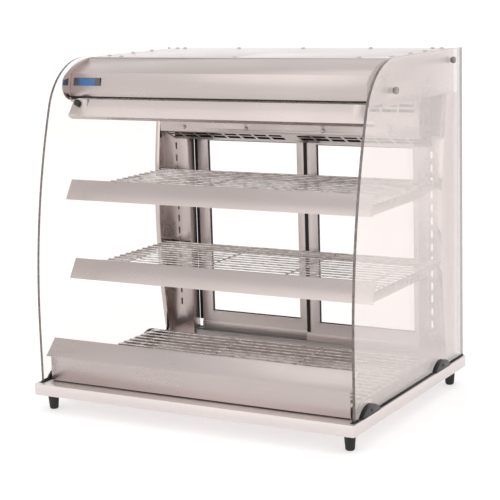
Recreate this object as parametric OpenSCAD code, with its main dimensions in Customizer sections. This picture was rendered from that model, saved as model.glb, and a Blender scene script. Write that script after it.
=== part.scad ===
/* [Overall] */
// Width of the base tray
case_w = 800; // [700:10:1200]
// Depth of the base tray
case_d = 614; // [604:2:640]
// Height of the feet
foot_h = 40; // [25:1:80]
// Thickness of the folded stainless sheet
sheet = 1.5; // [1:0.1:2]

/* [Base] */
// Height of the base tray
tray_h = 24; // [20:1:40]
// Plan radius of the tray corners
tray_r = 6; // [3:1:12]
// Distance of the feet from the tray edges
foot_inset = 36; // [25:1:60]
// Radius of a foot at its top
foot_r_top = 13; // [10:0.5:20]
// Radius of a foot at the floor
foot_r_low = 10; // [7:0.5:18]

/* [Side glass] */
// Thickness of the side panes
glass_t = 6; // [5:0.5:8]
// Height of the panes' top edge above the tray underside
glass_top = 743; // [742:1:760]
// Distance of a pane's middle from the case's middle plane
glass_x = 390; // [388:0.5:391]
// Radius of the long front curve
glass_long_r = 1600; // [1400:50:2000]
// Radius of the upper front corner
glass_nose_r = 145.5; // [140:0.5:150]

/* [Doors] */
// Width of one sliding door
door_w = 314; // [300:1:330]
// Thickness of a door frame
door_t = 16; // [12:1:16]
// Width of the door stiles
stile_w = 30; // [20:1:40]
// Height of the deep bottom rail
bottom_rail_h = 54; // [30:1:80]

/* [Shelves] */
// Vertical pitch of the slots in the rear posts
slot_pitch = 30.5; // [30.5:0.1:31]
// Diameter of the shelf wires
wire_d = 3.5; // [3:0.1:4]
// Spacing of the shelf wires
wire_pitch = 24.5; // [20:0.5:24.5]

/* [Hidden] */
$fn = 64;
eps = 0.01;
half_w = case_w / 2;
steel = [0.80, 0.77, 0.76];
dark = [0.07, 0.07, 0.08];
rubber = [0.05, 0.05, 0.05];
pane = [0.75, 0.82, 0.80, 0.35];

// Levels above the tray underside
tray_top = tray_h;
hood_low = 643;
hood_top = 740.25;
door_low = tray_top + 2.2;
door_high = 541;
head_z = 545;
upper_z = 446;
middle_z = upper_z - 6 * slot_pitch;
deck_z = 49;

// Distances from the front of the tray, and from the middle plane
deck_back = 470;
cheek_x = glass_x - 15;
deck_x = cheek_x - 1;
deck_in = deck_x - sheet - 0.5;
column_in = glass_x - 18;
column_out = glass_x - 6;
back_y = 606;
post_y = 550;
post_in = glass_x - 81;
slot_x = glass_x - 48;
duct_y = 481;
duct_back = 548;
duct_half = glass_x - 48;
front_track_y = 568.5;
rear_track_y = 591;

// Everything is drawn from the middle of the tray's front edge, then centred over the floor
module place() {
    translate([0, -case_d / 2, foot_h]) children();
}

// A profile in Y and Z, drawn out along X from x for a length t
module along_x(x, t) {
    translate([x, 0, 0]) rotate([90, 0, 90]) linear_extrude(t) children();
}

// A plate on one side of the case: from the distance x outwards by t
module side_plate(side, x, t) {
    along_x(side > 0 ? x : -x - t, t) children();
}

// A profile in X and Z, drawn out along Y from y for a length t
module along_y(y, t) {
    translate([0, y + t, 0]) rotate([90, 0, 0]) linear_extrude(t) children();
}

// A box given by its two corners
module block(low, high) {
    translate(low) cube(high - low);
}

// Unit normal of the step from a to b
function across(a, b) = [a[1] - b[1], b[0] - a[0]] / norm(b - a);

// Offset per unit of thickness at point i of a folded line, mitred between its two steps
function mitre(points, i) = let (
    last = len(points) - 1,
    before = across(points[max(i - 1, 0)], points[max(i, 1)]),
    after = across(points[min(i, last - 1)], points[min(i + 1, last)]))
    (before + after) / (1 + before * after);

// A folded sheet: its middle line through the points, with mitred bends
module fold(points, t = sheet) {
    last = len(points) - 1;
    polygon(concat([for (i = [0 : last]) points[i] + mitre(points, i) * t / 2],
        [for (i = [last : -1 : 0]) points[i] - mitre(points, i) * t / 2]));
}

// A rod along X between two places
module rod_x(x0, x1, y, z, d) {
    translate([x0, y, z]) rotate([0, 90, 0]) cylinder(d = d, h = x1 - x0, $fn = 24);
}

// A rod along Y between two places
module rod_y(x, y0, y1, z, d) {
    translate([x, y1, z]) rotate([90, 0, 0]) cylinder(d = d, h = y1 - y0, $fn = 24);
}

// A rectangle with round corners, as a plan or an elevation
module soft_rect(low, high, r) {
    square_x = high[0] - low[0];
    square_y = high[1] - low[1];
    translate(low + [r, 0]) square([square_x - 2 * r, square_y]);
    translate(low + [0, r]) square([square_x, square_y - 2 * r]);
    for (x = [low[0] + r, high[0] - r]) {
        for (y = [low[1] + r, high[1] - r]) translate([x, y]) circle(r);
    }
}

// ---- base ----

slot_w = glass_t + 3;
slot_front = 13;
slot_back = case_d - 2.5;

module base_tray() {
    color(steel) place() difference() {
        linear_extrude(tray_h) soft_rect([-half_w, 0], [half_w, case_d], tray_r);
        translate([0, 0, -eps]) linear_extrude(tray_h - sheet)
            soft_rect([-half_w + sheet, sheet], [half_w - sheet, case_d - sheet], tray_r - sheet);
        for (side = [-1, 1]) {
            block([side * glass_x - slot_w / 2, slot_front, tray_h - 2 * sheet],
                [side * glass_x + slot_w / 2, slot_back, tray_h + 1]);
        }
    }
}

module base_cover() {
    vent_count = 9;
    color(steel) place() difference() {
        translate([0, 0, -sheet]) linear_extrude(sheet)
            soft_rect([-half_w + 0.8, 0.8], [half_w - 0.8, case_d - 0.8], tray_r - 0.8);
        for (i = [0 : vent_count - 1]) {
            block([-120 + i * 30 - 3, case_d / 2 - 40, -sheet - 1],
                [-120 + i * 30 + 3, case_d / 2 + 40, 1]);
        }
        for (x = [-1, 1]) {
            for (y = [foot_inset, case_d - foot_inset]) {
                translate([x * (half_w - foot_inset + 9), y, -5]) cylinder(d = 6, h = 10);
            }
        }
    }
}

foot_x = half_w - foot_inset + 9;
foot_bore = 6;
foot_recess_r = 6.5;

module foot(side, y) {
    drop = foot_h - sheet;
    tip = 2.5;
    recess_z = 12 - drop;
    color(rubber) place() translate([side * foot_x, y, -sheet]) rotate_extrude($fn = 48)
        polygon([[foot_bore / 2, 0], [foot_r_top, 0], [foot_r_low, -drop + tip],
            [foot_r_low - tip, -drop], [foot_recess_r, -drop], [foot_recess_r, recess_z],
            [foot_bore / 2, recess_z]]);
}

module foot_screws() {
    drop = foot_h - sheet;
    color("silver") place() for (side = [-1, 1]) {
        for (y = [foot_inset, case_d - foot_inset]) {
            translate([side * foot_x, y, -sheet - drop + 12]) union() {
                translate([0, 0, -5]) cylinder(r = foot_recess_r - 0.7, h = 5, $fn = 6);
                cylinder(d = foot_bore - 0.4, h = drop - 12 + sheet + 6);
            }
        }
    }
}

// ---- side glass and its fittings ----

glass_front = 22;
glass_back = 611;
glass_low = 10.5;
curve_z = 150;
nose_cz = glass_top - glass_nose_r;
nose_lean = asin((nose_cz - curve_z) / (glass_long_r - glass_nose_r));
nose_cy = glass_front + glass_long_r - (glass_long_r - glass_nose_r) * cos(nose_lean);
nose_cut = nose_cz + glass_nose_r * sin(nose_lean);
standoff_places = [[240, 676], [558, 718]];
clamp_places = [90, 478];
clamp_chord = 84;
clamp_rise = 20;

// Outline of a side pane in Y and Z: upright foot, long slow curve, tight nose, level top
module glass_outline() {
    translate([glass_front, glass_low]) square([glass_back - glass_front, curve_z - glass_low]);
    intersection() {
        translate([glass_front, curve_z - 1])
            square([glass_back - glass_front, nose_cut - curve_z + 1]);
        union() {
            translate([glass_front + glass_long_r, curve_z]) circle(glass_long_r, $fn = 720);
            translate([glass_front, curve_z - 1]) square([glass_back - glass_front, 1]);
        }
    }
    intersection() {
        translate([glass_front, nose_cut]) square([nose_cy - glass_front, glass_top - nose_cut]);
        translate([nose_cy, nose_cz]) circle(glass_nose_r, $fn = 180);
    }
    translate([nose_cy, nose_cut]) square([glass_back - nose_cy, glass_top - nose_cut]);
}

module glass_channel(side) {
    height = tray_top + 1;
    color(rubber) place() difference() {
        block([side * glass_x - slot_w / 2 + 0.1, slot_front + 0.2, glass_low - 2],
            [side * glass_x + slot_w / 2 - 0.1, slot_back - 0.2, height]);
        block([side * glass_x - glass_t / 2, glass_front, glass_low],
            [side * glass_x + glass_t / 2, glass_back, height + 1]);
    }
}

module side_glass(side) {
    color(pane) place() difference() {
        side_plate(side, glass_x - glass_t / 2, glass_t) glass_outline();
        for (p = standoff_places) {
            rod_x(side * glass_x - 10, side * glass_x + 10, p[0], p[1], 10);
        }
        for (y = clamp_places) {
            rod_x(side * glass_x - 10, side * glass_x + 10, y, tray_top + 9, 8);
        }
    }
}

// Two half-round cheeks that grip a pane near its foot, on a short bolt
module glass_clamps(side) {
    cheek_t = 5.5;
    round_r = (clamp_chord * clamp_chord / 4 + clamp_rise * clamp_rise) / (2 * clamp_rise);
    low = tray_top + 1;
    color(dark) place() for (y = clamp_places) {
        for (x = [glass_x + glass_t / 2, glass_x - glass_t / 2 - cheek_t]) {
            side_plate(side, x, cheek_t) intersection() {
                translate([y, low + clamp_rise - round_r]) circle(round_r, $fn = 120);
                translate([y - clamp_chord, low]) square([2 * clamp_chord, clamp_rise]);
            }
        }
        rod_x(side * glass_x - 6, side * glass_x + 6, y, tray_top + 9, 7);
    }
}

// Spacer bolts that carry the hood between the two panes
module standoffs(side) {
    face_out = glass_x + glass_t / 2;
    face_in = glass_x - glass_t / 2;
    shank_d = 7.8;
    color("dimgray") place() for (p = standoff_places) translate([0, p[0], p[1]]) {
        side_rod(side, cheek_x - 8, face_out + 1, shank_d);
        side_rod(side, face_out, face_out + 0.8, 16);
        side_rod(side, face_out + 0.8, face_out + 4, 14);
        side_rod(side, cheek_x + sheet, face_in, 13);
        side_rod(side, cheek_x - 7, cheek_x, 15);
    }
}

// A rod along X on one side of the case, between two distances from the middle plane
module side_rod(side, x0, x1, d) {
    translate([side > 0 ? x0 : -x1, 0, 0]) rotate([0, 90, 0]) cylinder(d = d, h = x1 - x0, $fn = 32);
}

// ---- columns, hood and duct ----

column_front = 508;
column_bow_r = 1500;
column_bow_z = 320;

module column_outline(inset) {
    intersection() {
        translate([column_front, tray_top + inset])
            square([back_y - column_front, hood_low - tray_top - 2 * inset]);
        translate([column_front + column_bow_r, column_bow_z])
            circle(column_bow_r - inset, $fn = 720);
    }
}

// A tall box folded from sheet, open at the back, whose front edge bows forwards
module column(side) {
    color(steel) place() difference() {
        side_plate(side, column_in, column_out - column_in) column_outline(0);
        side_plate(side, column_in + sheet, column_out - column_in - 2 * sheet)
            translate([0.1, 0]) column_outline(sheet);
        side_plate(side, column_in + sheet, column_out - column_in - 2 * sheet)
            translate([back_y - 10, tray_top + sheet])
                square([20, hood_low - tray_top - 2 * sheet]);
    }
}

chin_r = 32;
chin_y = 164.5;
chin_z = 683;

// End plate of the hood: it follows the pane's nose, with a round chin below it
module cheek_outline() {
    brow_r = glass_nose_r - 2;
    top = nose_cz + brow_r;
    intersection() {
        translate([chin_y - 15, chin_z]) square([nose_cy - chin_y + 15, top - chin_z]);
        translate([nose_cy, nose_cz]) circle(brow_r, $fn = 180);
    }
    translate([chin_y, chin_z]) circle(chin_r);
    translate([chin_y, chin_z - chin_r]) square([50, chin_r + 1]);
    translate([chin_y + 45, hood_low]) square([nose_cy - chin_y - 45, chin_z - hood_low + 1]);
    translate([nose_cy, hood_low]) square([602 - nose_cy, top - hood_low]);
}

module hood_cheek(side) {
    color(steel) place() difference() {
        side_plate(side, cheek_x, sheet) cheek_outline();
        for (p = standoff_places) {
            rod_x(side * cheek_x - 5, side * cheek_x + 5, p[0], p[1], 8);
        }
    }
}

hood_half = cheek_x - 0.2;
top_fold = [241, hood_top - sheet / 2];
brow_fold = [170, 711.5];
lip_fold = [161.5, 672];
sill_fold = [166, 660];
sill_back = 200;

module hood_front() {
    color(steel) place() along_x(-hood_half, 2 * hood_half)
        fold([[290, top_fold[1]], top_fold, brow_fold, lip_fold, sill_fold,
            [sill_back, sill_fold[1]]]);
}

// Rubber strips under the hood's lip and under the deck's front plate
module front_seals() {
    color(rubber) place() {
        block([-hood_half, 168, 655.3], [hood_half, 172, sill_fold[1] - sheet / 2]);
        block([-deck_in, 38, tray_top], [deck_in, 50, tray_top + 2]);
    }
}

cover_screws = concat([for (x = [-352, -330, -176, 0, 176, 330, 352]) [x, 590]],
    [for (x = [-358, 358]) for (y = [300, 400, 480]) [x, y]],
    [for (x = [-300, 0, 300]) [x, 262]]);

module top_cover() {
    color(steel) place() difference() {
        union() {
            block([-hood_half, top_fold[0] + 2, hood_top], [hood_half, 602, hood_top + sheet]);
            block([-hood_half, 602, hood_top - 12], [hood_half, 602 + sheet, hood_top + sheet]);
        }
        for (p = cover_screws) translate([p[0], p[1], hood_top - 1]) cylinder(d = 4.2, h = 4);
    }
}

// Dome-headed screw with a hexagon socket: its head stands on z = 0, its shank runs down
module dome_screw(shank) {
    head_d = 10;
    difference() {
        union() {
            cylinder(d = head_d, h = 1.2);
            translate([0, 0, 1.2]) cylinder(d1 = head_d, d2 = 6, h = 1.8, $fn = 32);
            translate([0, 0, -shank]) cylinder(d = 4, h = shank + 0.5);
        }
        translate([0, 0, 1.4]) cylinder(d = 3, h = 3, $fn = 6);
    }
}

module sheet_screws() {
    color("dimgray") place() {
        for (p = cover_screws) translate([p[0], p[1], hood_top + sheet]) dome_screw(sheet);
        for (x = duct_screw_places) {
            translate([x, duct_y, duct_screw_z]) rotate([90, 0, 0]) dome_screw(6);
        }
    }
}

floor_front = sill_back - 2;

module hood_floor() {
    color(steel) place() union() {
        block([-hood_half, floor_front, hood_low], [hood_half, duct_y + sheet, hood_low + sheet]);
        block([-hood_half, floor_front, hood_low],
            [hood_half, floor_front + sheet, sill_fold[1] - sheet / 2]);
        for (side = [-1, 1]) {
            side_box(side, duct_half + 0.2, column_in - 0.2, duct_y, duct_back, hood_low,
                hood_low + sheet);
        }
    }
}

switch_z = 700;
switch_w = 28;
switch_h = 22;
power_x = 262;
lamp_x = 212;
dial_x = 318;
pilot_x = 170;
gland_x = -310;
gland_z = 596;
panel_y = 600.4;

// Back of the hood: it carries the controls, and its lower flange closes the duct's underside
module rear_panel() {
    color(steel) place() difference() {
        union() {
            block([-column_in + 0.2, panel_y, head_z], [column_in - 0.2, panel_y + sheet, hood_low]);
            block([-hood_half, panel_y, hood_low], [hood_half, panel_y + sheet, hood_top - 0.1]);
            block([-column_in + 0.2, duct_back + 0.2, head_z],
                [column_in - 0.2, panel_y, head_z + sheet]);
        }
        for (x = [power_x, lamp_x]) {
            block([x - switch_w / 2, panel_y - 5, switch_z - switch_h / 2],
                [x + switch_w / 2, panel_y + 5, switch_z + switch_h / 2]);
        }
        rod_y(dial_x, panel_y - 5, panel_y + 5, switch_z, 10);
        rod_y(pilot_x, panel_y - 5, panel_y + 5, switch_z, 10);
        rod_y(gland_x, panel_y - 5, panel_y + 5, gland_z, 20.4);
        for (i = [0 : 11]) {
            block([-150 + i * 22, panel_y - 5, 665], [-138 + i * 22, panel_y + 5, 715]);
        }
    }
}

slot_h = 16.5;
slot_open = 5;
slot_base = middle_z - 12 - 5 * slot_pitch;
slot_count = 14;

// Post with a row of slots for the shelf hooks, and a pocket behind it for the doors
module rear_post(side) {
    lip = 4.5;
    jamb_back = 582;
    color(steel) place() difference() {
        union() {
            side_box(side, post_in, column_in, post_y, post_y + sheet, tray_top, head_z);
            side_box(side, post_in, post_in + sheet, post_y, post_y + lip, tray_top, head_z);
            if (side < 0) side_box(side, post_in, post_in + sheet, post_y, jamb_back,
                tray_top + 10.5, head_z - 14.5);
            side_box(side, column_in - sheet, column_in, post_y, back_y, tray_top, head_z);
            side_box(side, column_in - 14, column_in, back_y - sheet, back_y, tray_top, head_z);
        }
        for (i = [0 : slot_count - 1]) {
            side_box(side, slot_x - slot_open / 2, slot_x + slot_open / 2, post_y - 1,
                post_y + sheet + 1, slot_base + i * slot_pitch,
                slot_base + i * slot_pitch + slot_h);
        }
    }
}

// A box on one side of the case, between distances from the middle plane, in Y and in Z
module side_box(side, x0, x1, y0, y1, z0, z1) {
    block([side > 0 ? x0 : -x1, y0, z0], [side > 0 ? x1 : -x0, y1, z1]);
}

duct_strip_low = 548;
louvre_w = 36;
louvre_h = 7;
louvre_pitch = 41.5;
duct_screw_places = [-274, -102, 102, 274];
duct_screw_z = 559;

module duct_front() {
    color(steel) place() difference() {
        union() {
            block([-duct_half, duct_y, duct_strip_low], [duct_half, duct_y + sheet, hood_low]);
            block([-duct_half, duct_y, duct_strip_low], [duct_half, duct_y + 12,
                duct_strip_low + sheet]);
            for (side = [-1, 1]) {
                side_box(side, duct_half - sheet, duct_half, duct_y, duct_back - 2,
                    duct_strip_low + 1.6, hood_low);
            }
        }
        for (i = [-8 : 7]) {
            for (z = [606, 618]) {
                block([(i + 0.5) * louvre_pitch - louvre_w / 2, duct_y - 1, z],
                    [(i + 0.5) * louvre_pitch + louvre_w / 2, duct_y + 4, z + louvre_h]);
            }
        }
        for (x = duct_screw_places) rod_y(x, duct_y - 2, duct_y + 4, duct_screw_z, 4.2);
    }
}

grille_drop = 25;

// Sloping slotted outlet under the duct, folded up into a plain back wall
module air_grille() {
    slot_len = 33.5;
    pitch = 40.6;
    rows = [[21.5, 32], [37.5, 52]];
    wall_y = duct_back - sheet / 2;
    color([0.2, 0.2, 0.2]) place() difference() {
        along_x(-duct_half, 2 * duct_half)
            fold([[duct_y + 13, duct_strip_low], [wall_y, duct_strip_low - grille_drop],
                [wall_y, hood_low]]);
        for (side = [-1, 1]) {
            for (i = [1 : 8]) {
                for (row = rows) {
                    x = side * (i - 0.06) * pitch;
                    block([x - slot_len / 2, duct_y + row[0], duct_strip_low - grille_drop - 5],
                        [x + slot_len / 2, duct_y + row[1], duct_strip_low + 5]);
                }
            }
        }
    }
}

// ---- lamp and its hinged cover ----

cover_half = glass_x - 9.5;
cover_top_half = cover_half - 16.5;
cover_low = 607.5;
cover_top = 655;
tab_x = 330;
pin_y = 165.5;
pin_z = 650;
pin_d = 4;

// Profile of the hinged valance in Y and Z: lower return, face, crease, leaning upper band
cover_return = [[164, 608.4], [182, 608.4]];
cover_face = [157, 615];
cover_crease = [160, 634.6];
cover_edge = [167.5, 652.5];
tab_edge = cover_face + (cover_crease - cover_face) * 1.94;

// Elevation of the valance: slanted ends with round lower corners
module cover_outline() {
    corner_r = 9;
    corner_x = cover_half - corner_r;
    corner_z = cover_low + corner_r;
    polygon([[-cover_half, corner_z], [cover_half, corner_z], [cover_top_half, cover_top],
        [-cover_top_half, cover_top]]);
    translate([-corner_x, cover_low]) square([2 * corner_x, corner_r + 1]);
    for (x = [-corner_x, corner_x]) translate([x, corner_z]) circle(corner_r);
}

// Hinged valance in front of the lamp: at both ends its face runs up into a flat tab, and an
// ear behind each tab turns on a pin of the hood
module lamp_cover() {
    ear_x = 338;
    color(steel) place() difference() {
        union() {
            intersection() {
                union() {
                    along_x(-tab_x, 2 * tab_x)
                        fold(concat([cover_edge, cover_crease, cover_face], cover_return));
                    for (side = [-1, 1]) {
                        side_plate(side, tab_x, cover_half - tab_x)
                            fold(concat([tab_edge, cover_face], cover_return));
                    }
                }
                along_y(100, 200) cover_outline();
            }
            for (side = [-1, 1]) {
                side_plate(side, tab_x - 1, 2) polygon([cover_crease, tab_edge, cover_edge]);
                side_plate(side, ear_x, sheet) union() {
                    translate([pin_y, pin_z]) circle(3.7);
                    polygon([[160.5, 637.5], [162.5, 651], [168, 647], [164, 636]]);
                }
            }
        }
        for (side = [-1, 1]) rod_x(side * ear_x - 5, side * ear_x + 5, pin_y, pin_z, pin_d + 0.16);
    }
}

// Hinge pins on the hood's cheeks, which the valance turns on
module cover_pins() {
    color(dark) place() for (side = [-1, 1]) translate([0, pin_y, pin_z]) {
        side_rod(side, 335, cheek_x, pin_d);
        side_rod(side, cheek_x - 2, cheek_x, 2 * pin_d);
    }
}

lamp_y = 226;
lamp_z = 624;
lamp_half = 300;

module lamp_tube() {
    color("white") place() rod_x(-lamp_half, lamp_half, lamp_y, lamp_z, 16);
}

module lampholders() {
    color(dark) place() for (side = [-1, 1]) translate([0, lamp_y, 0]) {
        side_plate(side, lamp_half, 12) translate([0, lamp_z]) circle(12);
        side_plate(side, lamp_half, 12) translate([-12, lamp_z]) square([24, hood_low - lamp_z]);
    }
}

// ---- warm-air unit ----

blower_y = 515;
blower_z = 690;
blower_r = 25;
blower_half = 150;

// Motor at one end and a bearing plate at the other, both carried by arms from the back panel
module blower_motor() {
    motor_x = blower_half + 12;
    bearing_x = -blower_half - 16;
    color("dimgray") place() union() {
        rod_x(motor_x, motor_x + 50, blower_y, blower_z, 56);
        rod_x(motor_x - 6, motor_x, blower_y, blower_z, 16);
        block([motor_x + 12, blower_y, blower_z - 5], [motor_x + 30, panel_y, blower_z + 5]);
        rod_x(bearing_x, bearing_x + 5.6, blower_y, blower_z, 40);
        block([bearing_x, blower_y, blower_z - 5], [bearing_x + 5.6, panel_y, blower_z + 5]);
    }
}

// Tangential fan: discs on a shaft with straight blades round the rim
module blower_wheel() {
    blades = 16;
    color("silver") place() translate([0, blower_y, blower_z]) union() {
        for (x = [-blower_half, -2, blower_half - 4]) {
            translate([x, 0, 0]) rotate([0, 90, 0]) cylinder(r = blower_r, h = 4, $fn = 48);
        }
        rod_x(-blower_half - 10, blower_half + 5.7, 0, 0, 8);
        for (i = [0 : blades - 1]) {
            rotate([i * 360 / blades, 0, 0]) translate([-blower_half, blower_r - 7, -0.7])
                cube([2 * blower_half, 6.5, 1.4]);
        }
    }
}

element_y = 516;
element_z = 590;

module heater_element() {
    bend_r = 14;
    half_len = 230;
    color("dimgray") place() union() {
        for (dz = [-bend_r, bend_r]) rod_x(-half_len, half_len, element_y, element_z + dz, 8);
        translate([-half_len, element_y, element_z]) rotate([90, 0, 0]) rotate([0, 0, 90])
            rotate_extrude(angle = 180, $fn = 64) translate([bend_r, 0]) circle(d = 8, $fn = 24);
        for (dz = [-bend_r, bend_r]) {
            rod_x(half_len, half_len + 18, element_y, element_z + dz, 14);
        }
        block([half_len + 18, element_y - 12, element_z - 26],
            [duct_half - sheet, element_y + 12, element_z - 22]);
        block([half_len + 12, element_y - 12, element_z - 26],
            [half_len + 18, element_y + 12, element_z + 24]);
    }
}

module terminal_block() {
    color("white") place() block([-300, 400, hood_low + sheet], [-230, 430, hood_low + sheet + 22]);
}

// ---- controls on the back ----

// Housing of a rocker switch, open at the back where the rocker sits
module switch_housing(x) {
    bezel = 3;
    color(dark) place() difference() {
        union() {
            block([x - switch_w / 2 - bezel, panel_y + sheet, switch_z - switch_h / 2 - bezel],
                [x + switch_w / 2 + bezel, panel_y + sheet + 2, switch_z + switch_h / 2 + bezel]);
            block([x - switch_w / 2 + 0.2, panel_y - 22, switch_z - switch_h / 2 + 0.2],
                [x + switch_w / 2 - 0.2, panel_y + sheet + 1, switch_z + switch_h / 2 - 0.2]);
        }
        block([x - switch_w / 2 + 2, panel_y - 14, switch_z - switch_h / 2 + 2],
            [x + switch_w / 2 - 2, panel_y + sheet + 5, switch_z + switch_h / 2 - 2]);
    }
}

rocker_pivot_y = panel_y - 4;
rocker_tilt = 9;

// Rocker: a shallow vee that turns about a pin along Z through its middle
module rocker(x) {
    half = switch_w / 2 - 4;
    tall = switch_h / 2 - 2.5;
    color("firebrick") place() translate([x, rocker_pivot_y, switch_z - tall])
        rotate([0, 0, rocker_tilt]) linear_extrude(2 * tall)
            polygon([[-half, 2], [half, 2], [half, 8.5], [0, 6.5], [-half, 8.5]]);
}

module thermostat() {
    color([0.75, 0.7, 0.6]) place() union() {
        block([dial_x - 20, panel_y - 30, switch_z - 18], [dial_x + 20, panel_y, switch_z + 18]);
        rod_y(dial_x, panel_y - 1, panel_y + 4, switch_z, 9.6);
        rod_y(dial_x, panel_y - 1, panel_y + 9, switch_z, 6);
    }
}

knob_r = 17;
knob_gap = 0.4;

module thermostat_knob() {
    front = panel_y + 4 + knob_gap;
    flutes = 14;
    color(dark) place() difference() {
        union() {
            rod_y(dial_x, front, front + 2, switch_z, 2 * knob_r + 4);
            rod_y(dial_x, front, front + 8.5, switch_z, 2 * knob_r - 3);
        }
        rod_y(dial_x, front - 1, front + 5, switch_z, 6.1);
        for (i = [0 : flutes - 1]) {
            translate([dial_x + knob_r * cos(i * 360 / flutes), front + 10,
                switch_z + knob_r * sin(i * 360 / flutes)])
                rotate([90, 0, 0]) cylinder(d = 4, h = 7.5, $fn = 24);
        }
        block([dial_x - 0.8, front + 7.5, switch_z + 3], [dial_x + 0.8, front + 9,
            switch_z + knob_r]);
    }
}

module pilot_lamp() {
    color("orange") place() union() {
        rod_y(pilot_x, panel_y - 14, panel_y + sheet + 1, switch_z, 9.8);
        rod_y(pilot_x, panel_y + sheet, panel_y + sheet + 3, switch_z, 13);
    }
}

module cable_gland() {
    color(dark) place() difference() {
        union() {
            rod_y(gland_x, panel_y - 12, panel_y + sheet + 5, gland_z, 20);
            translate([gland_x, panel_y + sheet + 4, gland_z]) rotate([90, 0, 0])
                cylinder(d = 27, h = 4, $fn = 6);
            translate([gland_x, panel_y, gland_z]) rotate([90, 0, 0])
                cylinder(d = 27, h = 5, $fn = 6);
        }
        rod_y(gland_x, panel_y - 20, panel_y + sheet + 20, gland_z, 9);
    }
}

// ---- shelves ----

shelf_half = glass_x - 9;
flange_x = column_in - 3.4;
neck_h = 10;
hook_drop = 5.5;
neck_low = 12;

// Shelf carrier: leaning front strip, two side arms, rear rail and two hooks
module shelf(z) {
    rail_y = 536;
    strip = [[168, z + 20], [159, z + 22.5], [133, z - 18.5], [146, z - 20]];
    color(steel) place() union() {
        along_x(-shelf_half, 2 * shelf_half) fold(strip);
        for (side = [-1, 1]) {
            side_plate(side, flange_x, sheet)
                polygon([[134, z - 19], [145, z - 1], [160, z + 21.5], [166, z + 17],
                    [172, z], [rail_y + sheet, z], [rail_y + sheet, z - neck_low],
                    [470, z - 14], [430, z - 22], [146, z - 22]]);
            side_box(side, slot_x - 1.5, slot_x + 1.5, rail_y, post_y + sheet + 3.8,
                z - neck_low, z - neck_low + neck_h);
            side_box(side, slot_x - 1.5, slot_x + 1.5, post_y + sheet + 0.4,
                post_y + sheet + 3.8, z - neck_low - hook_drop, z - neck_low + neck_h);
        }
        block([-flange_x, rail_y, z - neck_low - 2], [flange_x, rail_y + sheet, z - 1]);
        block([-flange_x, rail_y - 12, z - neck_low - 2],
            [flange_x, rail_y + sheet, z - neck_low - 0.5]);
    }
}

cross_wires = [-320, -110, 110, 320];

// Loose wire rack: long wires across the case, welded over cross wires
module rack(z, y0, count, half, cross) {
    weld = 0.4;
    y1 = y0 + (count - 1) * wire_pitch;
    color("silver") place() union() {
        for (i = [0 : count - 1]) {
            rod_x(-half, half, y0 + i * wire_pitch, z + wire_d / 2, wire_d);
        }
        for (x = cross) rod_y(x, y0 - 3, y1 + 3, z - wire_d / 2 + weld, wire_d);
    }
}

// ---- heated deck at the foot ----

module deck_front() {
    color(steel) place() union() {
        along_x(-cheek_x, 2 * cheek_x) fold([[37, tray_top + 2.75], [37, 84], [46, 84]]);
        along_x(-deck_in, 2 * deck_in) fold([[37, tray_top + 2.75], [56, tray_top + 2.75]]);
        along_x(-shelf_half, 2 * shelf_half)
            fold([[46, 84.5], [28.6, 84.5], [63, 118], [70, 111]]);
        for (x = [-300, 0, 300]) {
            along_x(x, sheet) polygon([[37.5, 84.8], [60, 84.8], [60, 113], [37.5, 92]]);
        }
    }
}

// Low frame round the deck, with an air opening near the front of each side
module deck_frame() {
    color(steel) place() union() {
        for (side = [-1, 1]) {
            difference() {
                side_box(side, deck_x - sheet, deck_x, 38.5, deck_back, tray_top, deck_z);
                side_box(side, deck_x - 5, deck_x + 5, 86, 146, 30, 44);
            }
            side_box(side, deck_x - 16, deck_x, 38.5, deck_back, deck_z - sheet, deck_z);
        }
        block([-deck_x, deck_back - sheet, tray_top], [deck_x, deck_back, deck_z]);
        block([-deck_x, 56.5, tray_top + 12], [deck_x, 56.5 + sheet, deck_z]);
    }
}

// ---- sliding doors ----

left_edge = -post_in + 7;
right_edge = post_in + 13 - door_w;
meeting_w = stile_w + 4;
top_rail_h = 25;
pane_t = 4;

// Door frame; meet is 1 where the meeting stile is on the right, -1 on the left
module door_frame(x, y, meet) {
    left_w = meet > 0 ? stile_w : meeting_w;
    right_w = meet > 0 ? meeting_w : stile_w;
    high_z = door_high - top_rail_h;
    low_z = door_low + bottom_rail_h;
    slim = 2.5;
    grip_x = meet > 0 ? x + 9 : x + door_w - 21;
    color(steel) place() difference() {
        union() {
            block([x, y - door_t / 2 + slim, door_low], [x + door_w, y + door_t / 2 - slim,
                door_high]);
            block([x, y - door_t / 2, door_low], [x + door_w, y + door_t / 2, door_low + 26]);
            for (gx = [grip_x, grip_x + 9]) {
                block([gx, y + door_t / 2 - slim - 1, 255], [gx + 3, y + door_t / 2 + 2.5, 355]);
            }
        }
        block([x + left_w, y - door_t, low_z], [x + door_w - right_w, y + door_t, high_z]);
        block([x + left_w - 6, y - pane_t / 2, low_z - 6],
            [x + door_w - right_w + 6, y + pane_t / 2, high_z + 6]);
    }
}

module door_glass(x, y, meet) {
    left_w = meet > 0 ? stile_w : meeting_w;
    right_w = meet > 0 ? meeting_w : stile_w;
    color(pane) place() block([x + left_w - 6, y - pane_t / 2, door_low + bottom_rail_h - 6],
        [x + door_w - right_w + 6, y + pane_t / 2, door_high - top_rail_h + 6]);
}

seal_low = door_low + 30;
seal_high = door_high - 5;

module door_left_seal() {
    color(rubber) place() block([left_edge - 9, rear_track_y - 4, seal_low],
        [left_edge, rear_track_y + 4, seal_high]);
}

module door_right_seal() {
    color(rubber) place() block([right_edge + 0.5, front_track_y - door_t / 2 + 0.7, seal_low],
        [right_edge + 8.5, front_track_y - door_t / 2 + 2.5, seal_high]);
}

rib_t = 2;
rib_places = [front_track_y - door_t / 2 - 1.2 - rib_t, (front_track_y + rear_track_y - rib_t) / 2,
    rear_track_y + door_t / 2 + 1.2];

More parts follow.
